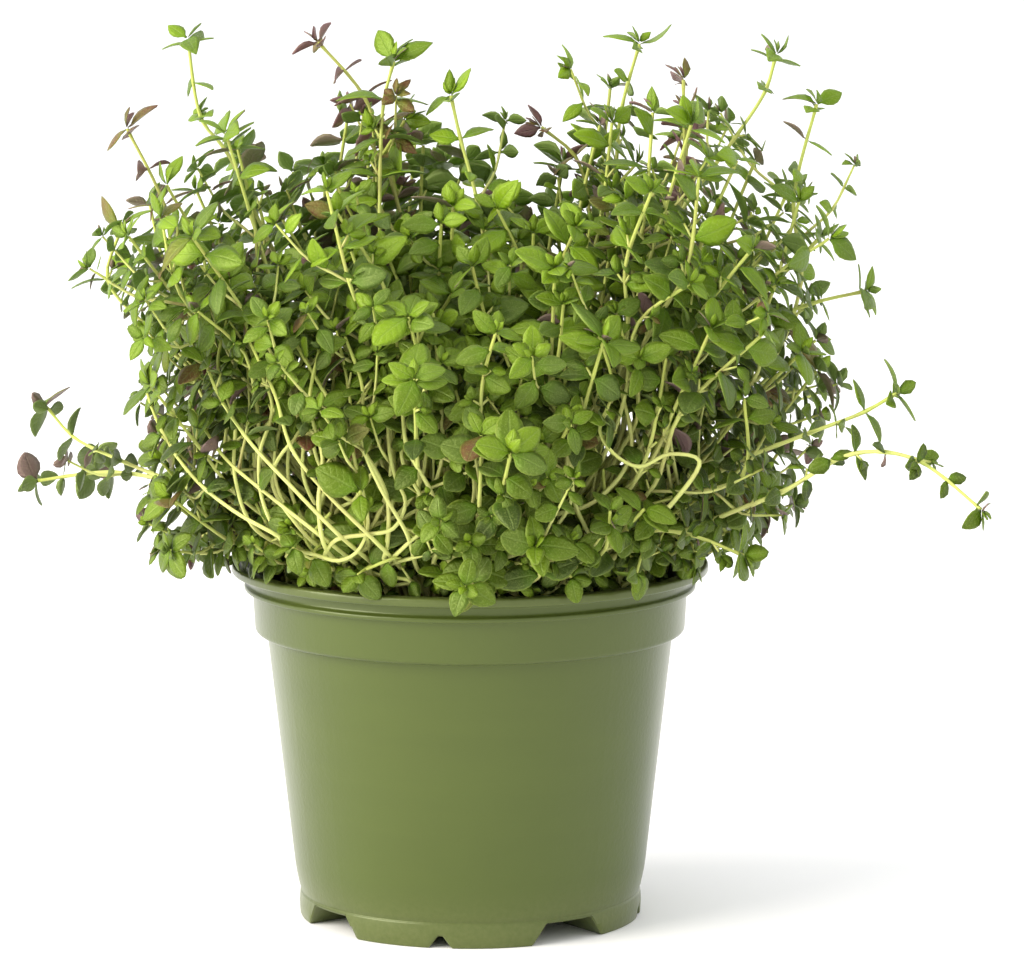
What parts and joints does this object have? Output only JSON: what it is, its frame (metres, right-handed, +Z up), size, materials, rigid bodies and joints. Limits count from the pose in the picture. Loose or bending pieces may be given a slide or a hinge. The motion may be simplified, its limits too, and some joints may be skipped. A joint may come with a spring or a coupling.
{
  "type": "potted thyme",
  "caption": "Bushy thyme plant with small paired oval leaves on thin arching stems, growing in a round tapered plastic nursery pot with a rolled lip and low feet.",
  "frame": {"origin": "centre of the pot's underside, on the surface that the pot stands on", "axes": "+Z up, -Y towards the front, +X to the right seen from the front"},
  "size_m": [0.2336, 0.1639, 0.213],
  "materials": {
    "pot": "satin moulded plastic",
    "soil": "dark crumbly potting soil",
    "foliage": "soft green leaves on pale green stems",
    "red_foliage": "leaves tinged purple red on pale stems"
  },
  "bodies": {
    "root": {"pot": "pot", "soil": "soil", "shoot_tall_left": "foliage", "shoot_red_left": "red_foliage", "shoot_red_top_left": "red_foliage", "shoot_top_left": "foliage", "shoot_top_middle": "foliage", "shoot_red_middle": "red_foliage", "shoot_tall_middle": "foliage", "shoot_red_top": "red_foliage", "shoot_tall_right": "foliage", "shoot_right_tip": "foliage", "shoot_right_upper": "foliage", "shoot_right_side": "foliage", "sprawl_right": "foliage", "sprawl_far_right": "foliage", "sprawl_low_right": "foliage", "sprawl_far_left": "foliage", "sprawl_left": "foliage", "shoot_left_side": "foliage", "shoot_01": "foliage", "shoot_02": "foliage", "shoot_03": "foliage", "shoot_04": "foliage", "shoot_05": "foliage", "shoot_06": "foliage", "shoot_07": "foliage", "shoot_08": "foliage", "shoot_09": "foliage", "shoot_10": "foliage", "shoot_11": "foliage", "shoot_12": "foliage", "shoot_13": "foliage", "shoot_14": "foliage", "shoot_15": "foliage", "shoot_16": "foliage", "shoot_17": "foliage", "shoot_18": "foliage", "shoot_19": "foliage", "shoot_20": "foliage", "shoot_21": "foliage", "shoot_22": "foliage", "shoot_23": "foliage", "shoot_24": "foliage", "shoot_25": "foliage", "shoot_26": "foliage", "shoot_27": "foliage", "shoot_28": "foliage", "shoot_29": "foliage"}
  },
  "joints": []
}
